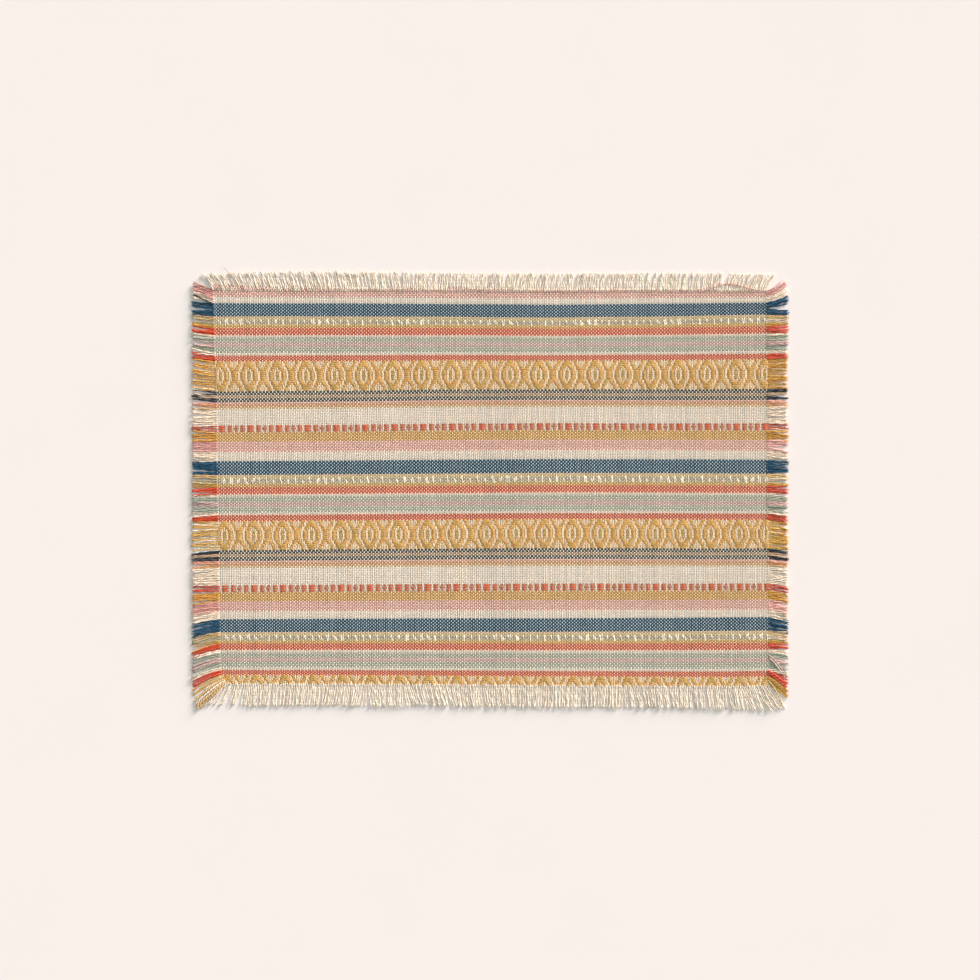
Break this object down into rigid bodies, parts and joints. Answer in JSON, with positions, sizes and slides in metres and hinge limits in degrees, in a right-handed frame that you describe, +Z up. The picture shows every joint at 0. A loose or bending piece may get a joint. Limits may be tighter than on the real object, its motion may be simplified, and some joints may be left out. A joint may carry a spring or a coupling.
{
  "type": "fabric placemat",
  "caption": "Flat woven cotton table mat with cross stripes, bands of loose-float figures and a short yarn fringe on all four sides.",
  "frame": {"origin": "on the table, under the middle of the mat's outline over the fringe", "axes": "+X along the stripes, +Y across the stripes towards the far long side, +Z up from the table"},
  "size_m": [0.4828, 0.3566, 0.002],
  "materials": {
    "striped_cloth": "matte striped cotton weave",
    "warp_fringe": "matte cream cotton yarn",
    "weft_fringe": "matte coloured cotton yarn"
  },
  "bodies": {
    "root": {"cloth": "striped_cloth", "fringe_back": "warp_fringe", "fringe_front": "warp_fringe", "fringe_left": "weft_fringe", "fringe_right": "weft_fringe"}
  },
  "joints": []
}
